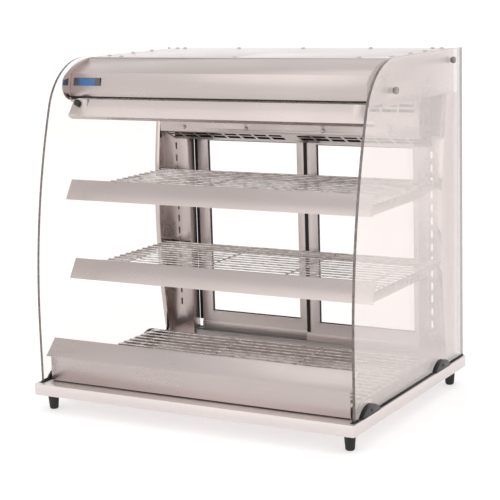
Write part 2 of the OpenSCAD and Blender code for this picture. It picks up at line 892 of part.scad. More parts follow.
module track(z0, z1, rib0, rib1) {
    track_half = column_in - sheet - 0.2;
    color("gainsboro") place() union() {
        block([-track_half, rib_places[0], z0], [track_half, rib_places[2] + rib_t, z1]);
        for (y = rib_places) block([-track_half, y, rib0], [track_half, y + rib_t, rib1]);
    }
}

module bottom_track() {
    track(tray_top, tray_top + 1.8, tray_top, tray_top + 10);
}

module top_track() {
    track(head_z - 1.8, head_z, head_z - 14, head_z);
}

base_tray();
base_cover();
foot(-1, foot_inset);  // foot_front_left
foot(1, foot_inset);  // foot_front_right
foot(-1, case_d - foot_inset);  // foot_rear_left
foot(1, case_d - foot_inset);  // foot_rear_right
foot_screws();
glass_channel(-1);  // glass_channel_left
glass_channel(1);  // glass_channel_right
side_glass(-1);  // side_glass_left
side_glass(1);  // side_glass_right
glass_clamps(-1);  // glass_clamps_left
glass_clamps(1);  // glass_clamps_right
standoffs(-1);  // standoffs_left
standoffs(1);  // standoffs_right
column(-1);  // column_left
column(1);  // column_right
hood_cheek(-1);  // hood_cheek_left
hood_cheek(1);  // hood_cheek_right
hood_front();
front_seals();
top_cover();
sheet_screws();
hood_floor();
rear_panel();
rear_post(-1);  // rear_post_left
rear_post(1);  // rear_post_right
duct_front();
air_grille();
lamp_cover();
cover_pins();
lamp_tube();
lampholders();
blower_motor();
blower_wheel();
heater_element();
terminal_block();
switch_housing(power_x);  // power_switch
rocker(power_x);  // power_rocker
switch_housing(lamp_x);  // lamp_switch
rocker(lamp_x);  // lamp_rocker
thermostat();
thermostat_knob();
pilot_lamp();
cable_gland();
shelf(upper_z);  // upper_shelf
rack(upper_z, 176, 15, flange_x + 1, cross_wires);  // upper_rack
shelf(middle_z);  // middle_shelf
rack(middle_z, 176, 15, flange_x + 1, cross_wires);  // middle_rack
deck_front();
deck_frame();
rack(deck_z, 80, 16, deck_x - 4, cross_wires);  // deck_rack
door_frame(left_edge, rear_track_y, 1);  // door_left
door_glass(left_edge, rear_track_y, 1);  // door_left_glass
door_left_seal();
door_frame(right_edge, front_track_y, -1);  // door_right
door_glass(right_edge, front_track_y, -1);  // door_right_glass
door_right_seal();
bottom_track();
top_track();
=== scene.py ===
"""A hot food display case: its finishes, its small fittings and the studio round it."""

import logging
import math
from dataclasses import dataclass
from enum import Enum

import bpy
from mathutils import Matrix, Vector


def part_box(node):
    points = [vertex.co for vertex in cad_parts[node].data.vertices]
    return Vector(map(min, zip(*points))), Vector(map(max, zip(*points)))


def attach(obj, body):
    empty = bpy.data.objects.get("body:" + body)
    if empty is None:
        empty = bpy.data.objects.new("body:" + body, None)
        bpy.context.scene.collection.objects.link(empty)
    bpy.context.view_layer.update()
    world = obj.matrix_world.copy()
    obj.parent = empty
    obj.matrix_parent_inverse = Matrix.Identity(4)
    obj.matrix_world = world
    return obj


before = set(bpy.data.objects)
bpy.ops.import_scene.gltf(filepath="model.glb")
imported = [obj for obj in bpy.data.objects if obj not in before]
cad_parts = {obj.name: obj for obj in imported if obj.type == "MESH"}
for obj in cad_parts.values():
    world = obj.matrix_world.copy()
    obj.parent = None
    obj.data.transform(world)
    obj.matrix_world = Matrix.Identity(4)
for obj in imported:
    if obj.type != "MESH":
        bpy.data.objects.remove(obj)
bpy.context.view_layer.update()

MM = 0.001
log = logging.getLogger("display_case")

Point = tuple[float, float, float]


class Grain(Enum):
    """The way that a sheet was brushed, as stretches of the pattern along X, Y and Z."""

    ACROSS = (0.02, 1.0, 1.0)
    ALONG = (1.0, 0.02, 1.0)
    UPRIGHT = (1.0, 1.0, 0.02)


class Axis(Enum):
    """A direction that a turned piece points in, with the turn that takes +Z there."""

    LEFT = (0.0, -math.pi / 2, 0.0)
    RIGHT = (0.0, math.pi / 2, 0.0)
    BACK = (-math.pi / 2, 0.0, 0.0)
    UP = (0.0, 0.0, 0.0)


# ---- colours and nodes ----


def linear(hex_colour: str) -> tuple[float, float, float, float]:
    """An sRGB hex colour as the linear colour that shaders take.

    Args:
        hex_colour: Six hex digits after a hash sign.

    Returns:
        Red, green, blue and an alpha of 1.
    """
    parts = [int(hex_colour[i : i + 2], 16) / 255 for i in (1, 3, 5)]
    low = [c / 12.92 if c <= 0.04045 else ((c + 0.055) / 1.055) ** 2.4 for c in parts]
    return (low[0], low[1], low[2], 1.0)


def add_node(
    tree: bpy.types.NodeTree, kind: str, inputs: dict | None = None, **settings: object
) -> bpy.types.Node:
    """Adds a node, sets it up and links it.

    Args:
        tree: The node tree to add to.
        kind: The node's type name.
        inputs: Values or output sockets for its inputs, by name or number.
        **settings: Attributes of the node itself.

    Returns:
        The new node.
    """
    node = tree.nodes.new(kind)
    for name, value in settings.items():
        setattr(node, name, value)
    for name, value in (inputs or {}).items():
        if isinstance(value, bpy.types.NodeSocket):
            tree.links.new(value, node.inputs[name])
        else:
            node.inputs[name].default_value = value
    return node


def set_ramp(ramp: bpy.types.Node, stops: list[tuple[float, tuple]]) -> None:
    """Gives a colour ramp its stops.

    Args:
        ramp: The Color Ramp node.
        stops: A place from 0 to 1 and a linear colour for each stop.
    """
    elements = ramp.color_ramp.elements
    while len(elements) < len(stops):
        elements.new(0.5)
    for element, (place, colour) in zip(elements, stops):
        element.position = place
        element.color = colour


def grey(level: float) -> tuple[float, float, float, float]:
    """A grey as a linear colour."""
    return (level, level, level, 1.0)


@dataclass(frozen=True)
class Finish:
    """A surface finish; build makes its material once, and later calls give it again."""

    name: str

    def build(self) -> bpy.types.Material:
        """Makes the material, or finds it if it was made before.

        Returns:
            The finished material.
        """
        material = bpy.data.materials.get(self.name)
        if material is None:
            material = bpy.data.materials.new(self.name)
            material.use_nodes = True
            material.node_tree.nodes.clear()
            tree = material.node_tree
            out = add_node(tree, "ShaderNodeOutputMaterial")
            tree.links.new(self.surface(tree), out.inputs["Surface"])
        return material

    def surface(self, tree: bpy.types.NodeTree) -> bpy.types.NodeSocket:
        """Builds the shader and gives its output socket."""
        raise NotImplementedError


@dataclass(frozen=True)
class StainlessSheet(Finish):
    """304 stainless sheet with a dull-polished rolled face.

    Fine brush lines spread the highlights one way, a faint warm tint painted into the colour
    stands for the room's reflected light, hand smears only change the gloss, and shallow rolling
    waves bend what it mirrors.
    """

    grain: Grain = Grain.ACROSS
    # Tone and deep both carry the faint warm tint, a painted reflection of the room
    tone: str = "#C6BBB8"
    deep: str = "#BDB2AF"
    gloss: float = 0.28
    wave: float = 0.0
    # Real brush lines are 0.1 mm apart: they are drawn 1.25 mm apart so that they show
    lines_per_metre: float = 800.0
    # Smears of a hand's width, about 140 mm, and a change of tone every 450 mm
    smears_per_metre: float = 7.0
    clouds_per_metre: float = 2.2
    # Rolling waves are about 110 mm long
    waves_per_metre: float = 9.0

    def surface(self, tree: bpy.types.NodeTree) -> bpy.types.NodeSocket:
        """Builds the brushed metal shader.

        Args:
            tree: The material's node tree.

        Returns:
            The shader's output socket.
        """
        coord = add_node(tree, "ShaderNodeTexCoord").outputs["Object"]
        lines = add_node(tree, "ShaderNodeMapping", {"Vector": coord, "Scale": self.grain.value})
        brush = add_node(
            tree,
            "ShaderNodeTexNoise",
            {"Vector": lines.outputs[0], "Scale": self.lines_per_metre, "Detail": 3.0, "Roughness": 0.6},
        ).outputs["Fac"]
        smear = add_node(
            tree,
            "ShaderNodeTexNoise",
            {"Vector": coord, "Scale": self.smears_per_metre, "Detail": 5.0, "Roughness": 0.62},
        ).outputs["Fac"]
        cloud = add_node(
            tree, "ShaderNodeTexNoise", {"Vector": coord, "Scale": self.clouds_per_metre, "Detail": 2.0}
        ).outputs["Fac"]
        tint = add_node(tree, "ShaderNodeValToRGB", {"Fac": cloud})
        set_ramp(tint, [(0.3, linear(self.deep)), (0.7, linear(self.tone))])
        streak = add_node(
            tree,
            "ShaderNodeMapRange",
            {"Value": brush, "From Min": 0.3, "From Max": 0.7, "To Min": 0.97, "To Max": 1.02},
        )
        colour = add_node(
            tree,
            "ShaderNodeMix",
            {"Factor": 1.0, 6: tint.outputs[0], 7: streak.outputs[0]},
            data_type="RGBA",
            blend_type="MULTIPLY",
        )
        rough = add_node(
            tree,
            "ShaderNodeMapRange",
            {
                "Value": smear,
                "From Min": 0.3,
                "From Max": 0.72,
                "To Min": self.gloss - 0.03,
                "To Max": self.gloss + 0.05,
            },
        )
        lines_bump = add_node(
            tree, "ShaderNodeBump", {"Strength": 0.06, "Distance": 0.2 * MM, "Height": brush}
        )
        warp = add_node(
            tree, "ShaderNodeTexNoise", {"Vector": coord, "Scale": self.waves_per_metre, "Detail": 1.5}
        ).outputs["Fac"]
        bump = add_node(
            tree,
            "ShaderNodeBump",
            {
                "Strength": 1.0,
                "Distance": 0.06 * MM + self.wave,
                "Height": warp,
                "Normal": lines_bump.outputs[0],
            },
        )
        shader = add_node(
            tree,
            "ShaderNodeBsdfPrincipled",
            {
                "Base Color": colour.outputs[2],
                "Metallic": 1.0,
                "Roughness": rough.outputs[0],
                "Normal": bump.outputs[0],
                "Anisotropic": 0.35,
            },
        )
        return shader.outputs[0]


@dataclass(frozen=True)
class OutletSheet(StainlessSheet):
    """The same sheet on a warm-air outlet: bright where it looks down, painted shade within."""

    # Painted shade: a brown-black that stands for the shade inside the outlet's slots
    slot_shade: str = "#171413"
    # A face counts as the inside unless it looks down by more than 30 degrees
    inside_over: float = -0.5

    def surface(self, tree: bpy.types.NodeTree) -> bpy.types.NodeSocket:
        """Mixes the bright outer face with painted shade on the inner ones.

        Args:
            tree: The material's node tree.

        Returns:
            The shader's output socket.
        """
        bright = super().surface(tree)
        # The inner faces get painted shade, so the slots look dark
        slot_shade_shader = add_node(
            tree, "ShaderNodeBsdfPrincipled", {"Base Color": linear(self.slot_shade), "Roughness": 0.7}
        )
        normal = add_node(tree, "ShaderNodeNewGeometry").outputs["True Normal"]
        split = add_node(tree, "ShaderNodeSeparateXYZ", {"Vector": normal})
        inside = add_node(
            tree, "ShaderNodeMath", {0: split.outputs["Z"], 1: self.inside_over}, operation="GREATER_THAN"
        )
        both = add_node(
            tree, "ShaderNodeMixShader", {0: inside.outputs[0], 1: bright, 2: slot_shade_shader.outputs[0]}
        )
        return both.outputs[0]


@dataclass(frozen=True)
class BrightWire(Finish):
    """Drawn bright metal, as on wire and bolts: a high polish that goes dull in small patches."""

    tone: str = "#D3CECC"
    dull: str = "#B9B2AF"
    gloss: float = 0.2
    # Dull patches are about 18 mm apart
    patches_per_metre: float = 55.0

    def surface(self, tree: bpy.types.NodeTree) -> bpy.types.NodeSocket:
        """Builds the bright metal shader.

        Args:
            tree: The material's node tree.

        Returns:
            The shader's output socket.
        """
        coord = add_node(tree, "ShaderNodeTexCoord").outputs["Object"]
        spots = add_node(
            tree, "ShaderNodeTexNoise", {"Vector": coord, "Scale": self.patches_per_metre, "Detail": 3.0}
        ).outputs["Fac"]
        tint = add_node(tree, "ShaderNodeValToRGB", {"Fac": spots})
        set_ramp(tint, [(0.35, linear(self.dull)), (0.62, linear(self.tone))])
        rough = add_node(
            tree,
            "ShaderNodeMapRange",
            {
                "Value": spots,
                "From Min": 0.3,
                "From Max": 0.7,
                "To Min": self.gloss + 0.1,
                "To Max": self.gloss - 0.04,
            },
        )
        shader = add_node(
            tree,
            "ShaderNodeBsdfPrincipled",
            {"Base Color": tint.outputs[0], "Metallic": 1.0, "Roughness": rough.outputs[0]},
        )
        return shader.outputs[0]


@dataclass(frozen=True)
class FloatGlass(Finish):
    """Toughened float glass: clear faces with a mirror sheen at a low angle.

    Its ground edges look dark grey, because light runs along the pane.
    """

    face_axis: int = 0
    tint: str = "#FEFDFC"
    edge: str = "#5A5250"
    edge_glint: str = "#857C79"
    sheen: str = "#F3EBE9"
    mirror_power: float = 3.0
    mirror: float = 1.0
    # The least cosine to the pane's axis that a clear face has
    face_over: float = 0.92
    # A film left by wiping, about 200 mm across, and grinding marks drawn 7 mm apart
    films_per_metre: float = 5.0
    marks_per_metre: float = 140.0

    def surface(self, tree: bpy.types.NodeTree) -> bpy.types.NodeSocket:
        """Builds clear faces and dark edges.

        Args:
            tree: The material's node tree.

        Returns:
            The shader's output socket.
        """
        clear = add_node(tree, "ShaderNodeBsdfTransparent", {"Color": linear(self.tint)})
        coord = add_node(tree, "ShaderNodeTexCoord").outputs["Object"]
        film = add_node(
            tree, "ShaderNodeTexNoise", {"Vector": coord, "Scale": self.films_per_metre, "Detail": 4.0}
        ).outputs["Fac"]
        haze = add_node(
            tree,
            "ShaderNodeMapRange",
            {"Value": film, "From Min": 0.35, "From Max": 0.75, "To Min": 0.01, "To Max": 0.05},
        )
        sheen = add_node(
            tree, "ShaderNodeBsdfGlossy", {"Color": linear(self.sheen), "Roughness": haze.outputs[0]}
        )
        facing = add_node(tree, "ShaderNodeLayerWeight", {"Blend": 0.5}).outputs["Facing"]
        slope = add_node(tree, "ShaderNodeMath", {0: facing, 1: self.mirror_power}, operation="POWER")
        veil = add_node(
            tree,
            "ShaderNodeMath",
            {0: slope.outputs[0], 1: self.mirror, 2: 0.02},
            operation="MULTIPLY_ADD",
            use_clamp=True,
        )
        pane = add_node(
            tree, "ShaderNodeMixShader", {0: veil.outputs[0], 1: clear.outputs[0], 2: sheen.outputs[0]}
        )
        normal = add_node(tree, "ShaderNodeNewGeometry").outputs["True Normal"]
        split = add_node(tree, "ShaderNodeSeparateXYZ", {"Vector": normal})
        flat = add_node(tree, "ShaderNodeMath", {0: split.outputs[self.face_axis]}, operation="ABSOLUTE")
        is_edge = add_node(
            tree, "ShaderNodeMath", {0: flat.outputs[0], 1: self.face_over}, operation="LESS_THAN"
        )
        chatter = add_node(
            tree, "ShaderNodeTexNoise", {"Vector": coord, "Scale": self.marks_per_metre, "Detail": 2.0}
        ).outputs["Fac"]
        edge_tint = add_node(tree, "ShaderNodeValToRGB", {"Fac": chatter})
        set_ramp(edge_tint, [(0.3, linear(self.edge)), (0.75, linear(self.edge_glint))])
        ground = add_node(
            tree,
            "ShaderNodeBsdfPrincipled",
            {"Base Color": edge_tint.outputs[0], "Roughness": 0.22, "IOR": 1.5},
        )
        both = add_node(
            tree, "ShaderNodeMixShader", {0: is_edge.outputs[0], 1: pane.outputs[0], 2: ground.outputs[0]}
        )
        return both.outputs[0]


@dataclass(frozen=True)
class Moulded(Finish):
    """Moulded polymer or a painted coat: an even colour with a fine spark-eroded grain.

    Dust lightens it in patches.
    """

    tone: str = "#17171A"
    worn: str = "#2A2A2C"
    gloss: float = 0.5
    # Real grain is 0.05 mm: it is drawn at 1.1 mm so that it shows
    grit: float = 900.0
    depth: float = 0.05 * MM
    # Dust lies in patches of about 38 mm
    dust_per_metre: float = 26.0
    metallic: float = 0.0
    glow: str = "#000000"
    glow_strength: float = 0.0

    def surface(self, tree: bpy.types.NodeTree) -> bpy.types.NodeSocket:
        """Builds the grained shader.

        Args:
            tree: The material's node tree.

        Returns:
            The shader's output socket.
        """
        coord = add_node(tree, "ShaderNodeTexCoord").outputs["Object"]
        grain = add_node(
            tree, "ShaderNodeTexNoise", {"Vector": coord, "Scale": self.grit, "Detail": 2.0}
        ).outputs["Fac"]
        dust = add_node(
            tree,
            "ShaderNodeTexNoise",
            {"Vector": coord, "Scale": self.dust_per_metre, "Detail": 5.0, "Roughness": 0.65},
        ).outputs["Fac"]
        tint = add_node(tree, "ShaderNodeValToRGB", {"Fac": dust})
        set_ramp(tint, [(0.42, linear(self.tone)), (0.8, linear(self.worn))])
        rough = add_node(
            tree,
            "ShaderNodeMapRange",
            {
                "Value": dust,
                "From Min": 0.3,
                "From Max": 0.7,
                "To Min": self.gloss - 0.06,
                "To Max": self.gloss + 0.1,
            },
        )
        bump = add_node(tree, "ShaderNodeBump", {"Strength": 0.5, "Distance": self.depth, "Height": grain})
        shader = add_node(
            tree,
            "ShaderNodeBsdfPrincipled",
            {
                "Base Color": tint.outputs[0],
                "Metallic": self.metallic,
                "Roughness": rough.outputs[0],
                "Normal": bump.outputs[0],
                "Emission Color": linear(self.glow),
                "Emission Strength": self.glow_strength,
            },
        )
        return shader.outputs[0]


SHEET = StainlessSheet("stainless_brushed_across", Grain.ACROSS)
SHEET_UPRIGHT = StainlessSheet("stainless_brushed_upright", Grain.UPRIGHT)
SHEET_ALONG = StainlessSheet("stainless_brushed_along", Grain.ALONG)
MIRROR_SHEET = StainlessSheet(
    "stainless_bright_annealed", Grain.UPRIGHT, tone="#CCC2BF", deep="#C3B8B5", gloss=0.06, wave=0.0003
)
CHEEK_SHEET = StainlessSheet(
    "stainless_bright_along", Grain.ALONG, tone="#CCC2BF", deep="#C3B8B5", gloss=0.1, wave=0.0001
)
FRAME_SHEET = StainlessSheet(
    "stainless_satin_upright", Grain.UPRIGHT, tone="#E2D8D5", deep="#DAD0CD", gloss=0.42
)
TRAY_SHEET = StainlessSheet("stainless_satin_across", Grain.ACROSS, tone="#E4DBD8", deep="#DCD2CF", gloss=0.4)
# The outlet's inner faces carry painted shade, so its slots look dark
GRILLE_SHEET = OutletSheet("stainless_outlet", Grain.ACROSS, tone="#BDB2AF", deep="#B0A5A2", gloss=0.34)
WIRE = BrightWire("bright_drawn_wire", tone="#E6E0DE", gloss=0.3)
BOLT = BrightWire("zinc_plated_bolt", tone="#C9CBCB", gloss=0.28)
# Painted reflection: the spacer bolts are black, and this mid grey stands for the glass's sheen seen over
# them
SHEEN_GREY_BOLT = BrightWire("spacer_bolt_painted_sheen", tone="#8B817E", gloss=0.36)
ALUMINIUM = StainlessSheet("anodised_aluminium", Grain.ACROSS, tone="#C9C8C6", deep="#BDBCBA", gloss=0.36)
NEAR_PANE = FloatGlass("float_glass_right", mirror_power=2.0, mirror=1.1)
FAR_PANE = FloatGlass("float_glass_left", mirror_power=3.0, mirror=0.12)
DOOR_PANE = FloatGlass("float_glass_door", face_axis=1, edge="#665E5C", mirror_power=3.0, mirror=0.6)
RUBBER = Moulded("black_epdm_rubber", tone="#121112", worn="#2B2A2A", gloss=0.62)
BLACK_FITTING = Moulded("black_oxide_steel", tone="#161516", worn="#3A3838", gloss=0.34, grit=500.0)
BLACK_NYLON = Moulded("black_moulded_nylon", tone="#141416", worn="#2C2C2E", gloss=0.4)
ROCKER = Moulded("glossy_moulded_rocker", tone="#1B1B1D", worn="#242426", gloss=0.16, depth=0.01 * MM)
CREAM = Moulded("cream_moulded_resin", tone="#D8D2C4", worn="#CBC4B2", gloss=0.42)
OPAL = Moulded(
    "opal_lamp_glass",
    tone="#F4F3EE",
    worn="#ECEAE2",
    gloss=0.2,
    depth=0.01 * MM,
    glow="#FFF6E6",
    glow_strength=0.15,
)
AMBER = Moulded(
    "amber_neon_lens", tone="#E07A1C", worn="#C9661A", gloss=0.12, glow="#E8801E", glow_strength=0.2
)
DARK_CASTING = Moulded("painted_motor_shell", tone="#45474A", worn="#55575A", gloss=0.45, metallic=0.3)
HEATER = Moulded("oxidised_heater_sheath", tone="#35322F", worn="#574F48", gloss=0.5, metallic=0.6)
WHITE_MARK = Moulded("white_print", tone="#E9E9E6", worn="#DEDEDA", gloss=0.5, depth=0.01 * MM)
BADGE_BLUE = Moulded("blue_enamel", tone="#2B5C93", worn="#3D73AB", gloss=0.15, depth=0.01 * MM)
BADGE_GREY = Moulded("dark_grey_enamel", tone="#4A4746", worn="#5A5655", gloss=0.2, depth=0.01 * MM)
PAPER = Moulded("studio_paper", tone="#C9C8C8", worn="#C6C5C5", gloss=0.9, glow="#FFFFFF", glow_strength=0.5)


# ---- modelling by hand ----


def deselect() -> None:
    """Leaves edit mode and clears the selection."""
    if bpy.context.object and bpy.context.object.mode != "OBJECT":
        bpy.ops.object.mode_set(mode="OBJECT")
    bpy.ops.object.select_all(action="DESELECT")


def take(piece: bpy.types.Object) -> None:
    """Makes a piece the only selected and active object.

    Args:
        piece: The object to take.
    """
    deselect()
    piece.select_set(True)
    bpy.context.view_layer.objects.active = piece


def settle(piece: bpy.types.Object, name: str) -> bpy.types.Object:
    """Names a piece and puts its place, turn and scale into its mesh.

    Args:
        piece: The object just modelled.
        name: Its name from now on.

    Returns:
        The same object.
    """
    take(piece)
    bpy.ops.object.transform_apply(location=True, rotation=True, scale=True)
    piece.name = name
    piece.data.name = name
    return piece


def apply_modifiers(piece: bpy.types.Object) -> None:
    """Applies every modifier of a piece in order.

    Args:
        piece: The object whose modifiers end up in its mesh.
    """
    take(piece)
    for modifier in list(piece.modifiers):
        bpy.ops.object.modifier_apply(modifier=modifier.name)


def bevel(piece: bpy.types.Object, width: float, segments: int = 3, angle: float = 35.0) -> None:
    """Rounds the sharp edges of a piece for good.

    Args:
        piece: The piece to soften.
        width: The bevel's width in metres.
        segments: Steps across each rounded edge.
        angle: The least angle between faces, in degrees, that counts as sharp.
    """
    edge = piece.modifiers.new("round", "BEVEL")
    edge.width, edge.segments = width, segments
    edge.limit_method, edge.angle_limit = "ANGLE", math.radians(angle)
    apply_modifiers(piece)
    bpy.ops.object.shade_smooth_by_angle(angle=math.radians(angle))


def slab(name: str, low: Point, high: Point) -> bpy.types.Object:
    """A rectangular block between two corners.

    Args:
        name: The piece's name.
        low: Its lowest corner, in metres.
        high: Its highest corner.

    Returns:
        The block.
    """
    deselect()
    centre = [(a + b) / 2 for a, b in zip(low, high)]
    bpy.ops.mesh.primitive_cube_add(size=1.0, location=centre)
    piece = bpy.context.object
    piece.scale = [b - a for a, b in zip(low, high)]
    return settle(piece, name)


def rod(
    name: str, centre: Point, axis: Axis, radius: float, length: float, sides: int = 48
) -> bpy.types.Object:
    """A round bar centred on a point.

    Args:
        name: The piece's name.
        centre: The bar's middle, in metres.
        axis: The way that it points.
        radius: Its radius.
        length: Its length.
        sides: How many flats stand for its round face.

    Returns:
        The bar.
    """
    deselect()
    bpy.ops.mesh.primitive_cylinder_add(
        vertices=sides, radius=radius, depth=length, location=centre, rotation=axis.value
    )
    return settle(bpy.context.object, name)


def select_faces(piece: bpy.types.Object, normal: Point, least: float = 0.9) -> None:
    """Goes into edit mode with only the faces that look along a normal selected.

    Args:
        piece: The piece to edit.
        normal: The direction that the faces look in.
        least: The least cosine between a face's normal and that direction.
    """
    take(piece)
    bpy.ops.object.mode_set(mode="EDIT")
    bpy.ops.mesh.select_mode(type="FACE")
    bpy.ops.mesh.select_all(action="DESELECT")
    bpy.ops.object.mode_set(mode="OBJECT")
    for face in piece.data.polygons:
        face.select = face.normal.dot(Vector(normal)) > least
    bpy.ops.object.mode_set(mode="EDIT")


def joined(pieces: list[bpy.types.Object], name: str) -> bpy.types.Object:
    """Joins pieces into one named object.

    Args:
        pieces: The objects to join.
        name: The name of the whole.

    Returns:
        The joined object.
    """
    take(pieces[0])
    for piece in pieces[1:]:
        piece.select_set(True)
    bpy.ops.object.join()
    return settle(bpy.context.object, name)


def paint(piece: bpy.types.Object, finish: Finish) -> None:
    """Gives every slot of a piece one finish.

    Args:
        piece: The object to paint.
        finish: Its surface finish.
    """
    if not piece.data.materials:
        piece.data.materials.append(None)
    for index in range(len(piece.data.materials)):
        piece.data.materials[index] = finish.build()


def fit(piece: bpy.types.Object, body: str, finish: Finish) -> bpy.types.Object:
    """Finishes a new piece and fixes it to a body.

    Args:
        piece: The modelled piece.
        body: The body that it moves with.
        finish: Its surface finish.

    Returns:
        The same piece.
    """
    paint(piece, finish)
    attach(piece, body)
    log.info("fitted %s to %s: %s", piece.name, body, finish.name)
    return piece


def dress(nodes: tuple[str, ...], finish: Finish, round_edge: float = 0.0) -> None:
    """Gives CAD nodes their finish, smooth curves and softly broken edges.

    Args:
        nodes: Names of the nodes.
        finish: Their surface finish.
        round_edge: Width in metres of the broken edge, or 0 to leave edges sharp.
    """
    for name in nodes:
        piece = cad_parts[name]
        paint(piece, finish)
        for face in piece.data.polygons:
            face.use_smooth = True
        weld = piece.modifiers.new("weld", "WELD")
        weld.merge_threshold = 1e-6
        if round_edge:
            edge = piece.modifiers.new("break", "BEVEL")
            edge.width, edge.segments = round_edge, 2
            edge.limit_method, edge.angle_limit = "ANGLE", math.radians(40)
            edge.use_clamp_overlap = True
        split = piece.modifiers.new("crease", "EDGE_SPLIT")
        split.split_angle = math.radians(32)
        log.info("dressed %s: %s", name, finish.name)


def button_screw(name: str, centre: Point, axis: Axis, radius: float, height: float) -> bpy.types.Object:
    """A button-headed screw with a hexagon socket.

    Args:
        name: The piece's name.
        centre: The middle of the head's seat, in metres.
        axis: The way that the head points.
        radius: The head's radius.
        height: The head's height.

    Returns:
        The head, with its socket cut in.
    """
    deselect()
    bpy.ops.mesh.primitive_cylinder_add(vertices=36, radius=radius, depth=height, location=(0, 0, height / 2))
    head = bpy.context.object
    settle(head, name)
    select_faces(head, (0, 0, 1))
    bpy.ops.mesh.bevel(offset=height * 0.62, segments=4, affect="EDGES")
    bpy.ops.object.mode_set(mode="OBJECT")
    deselect()
    bpy.ops.mesh.primitive_cylinder_add(
        vertices=6, radius=radius * 0.46, depth=height, location=(0, 0, height * 0.85)
    )
    key = bpy.context.object
    cut = head.modifiers.new("socket", "BOOLEAN")
    cut.operation, cut.object, cut.solver = "DIFFERENCE", key, "EXACT"
    apply_modifiers(head)
    bpy.data.objects.remove(key, do_unlink=True)
    head.rotation_euler = axis.value
    head.location = centre
    settle(head, name)
    bpy.ops.object.shade_smooth_by_angle(angle=math.radians(35))
    return head


# ---- sub-assemblies ----


@dataclass
class Base:
    """The tray, its cover, the rubber feet and the screws that hold them."""

    broken_edge: float = 0.6 * MM

    def build(self) -> None:
        """Dresses the base."""
        dress(("base_tray", "base_cover"), TRAY_SHEET, self.broken_edge)
        dress(("foot_front_left", "foot_front_right", "foot_rear_left", "foot_rear_right"), RUBBER, 1.2 * MM)
        dress(("foot_screws",), BOLT, 0.3 * MM)


@dataclass
class SideGlass:
    """The two curved panes with their channels, clamps and spacer bolts."""

    body: str = "case"
    lip_width: float = 2.2 * MM
    lip_height: float = 2.4 * MM
    lip_start: float = 9 * MM
    lip_end: float = 1 * MM
    lip_gap: float = 0.05 * MM
    clamp_length: float = 84 * MM
    screw_rise: float = 8 * MM
    screw_radius: float = 3.4 * MM
    screw_height: float = 1.4 * MM

    def lips(self, side: int) -> None:
        """Rounded rubber lips that stand along both faces of one pane.

        Args:
            side: -1 for the left pane, 1 for the right.
        """
        word = "left" if side < 0 else "right"
        low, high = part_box(f"glass_channel_{word}")
        pane_low, pane_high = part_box(f"side_glass_{word}")
        for place, inner in (("outer", side > 0), ("inner", side < 0)):
            x0 = pane_high.x + self.lip_gap if inner else pane_low.x - self.lip_width - self.lip_gap
            lip = slab(
                f"glass_lip_{place}_{word}",
                (x0, low.y + self.lip_start, high.z + 0.02 * MM),
                (x0 + self.lip_width, high.y - self.lip_end, high.z + self.lip_height),
            )
            bevel(lip, 0.8 * MM, 3)
            self.notch(lip, word)
            fit(lip, self.body, RUBBER)

    def notch(self, lip: bpy.types.Object, word: str) -> None:
        """Cuts a lip away where the two clamps grip the pane.

        Args:
            lip: The lip to cut.
            word: The side that it is on.
        """
        low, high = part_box(f"glass_clamps_{word}")
        middle_x = (low.x + high.x) / 2
        for y in (low.y, high.y - self.clamp_length):
            deselect()
            bpy.ops.mesh.primitive_cube_add(size=1.0, location=(middle_x, y + self.clamp_length / 2, low.z))
            tool = bpy.context.object
            tool.scale = (60 * MM, self.clamp_length + 1 * MM, 20 * MM)
            cut = lip.modifiers.new("notch", "BOOLEAN")
            cut.operation, cut.object, cut.solver = "DIFFERENCE", tool, "EXACT"
            apply_modifiers(lip)
            bpy.data.objects.remove(tool, do_unlink=True)

    def clamp_screws(self, side: int) -> None:
        """Socket screws in the middle of each clamp's outer cheek.

        Args:
            side: -1 for the left pane, 1 for the right.
        """
        word = "left" if side < 0 else "right"
        low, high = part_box(f"glass_clamps_{word}")
        outer = low.x if side < 0 else high.x
        axis = Axis.LEFT if side < 0 else Axis.RIGHT
        inset = self.clamp_length / 2
        for tag, y in (("front", low.y + inset), ("rear", high.y - inset)):
            place = (outer, y, low.z + self.screw_rise)
            screw = button_screw(
                f"clamp_screw_{tag}_{word}", place, axis, self.screw_radius, self.screw_height
            )
            fit(screw, self.body, BLACK_FITTING)

    def build(self) -> None:
        """Dresses both panes and adds their small parts."""
        dress(("side_glass_left",), FAR_PANE)
        dress(("side_glass_right",), NEAR_PANE)
        dress(("glass_channel_left", "glass_channel_right"), RUBBER)
        dress(("glass_clamps_left", "glass_clamps_right"), BLACK_FITTING, 1.0 * MM)
        # The spacer bolts get a grey that paints in the glass's sheen over them
        dress(("standoffs_left", "standoffs_right"), SHEEN_GREY_BOLT, 0.7 * MM)
        for side in (-1, 1):
            self.lips(side)
            self.clamp_screws(side)


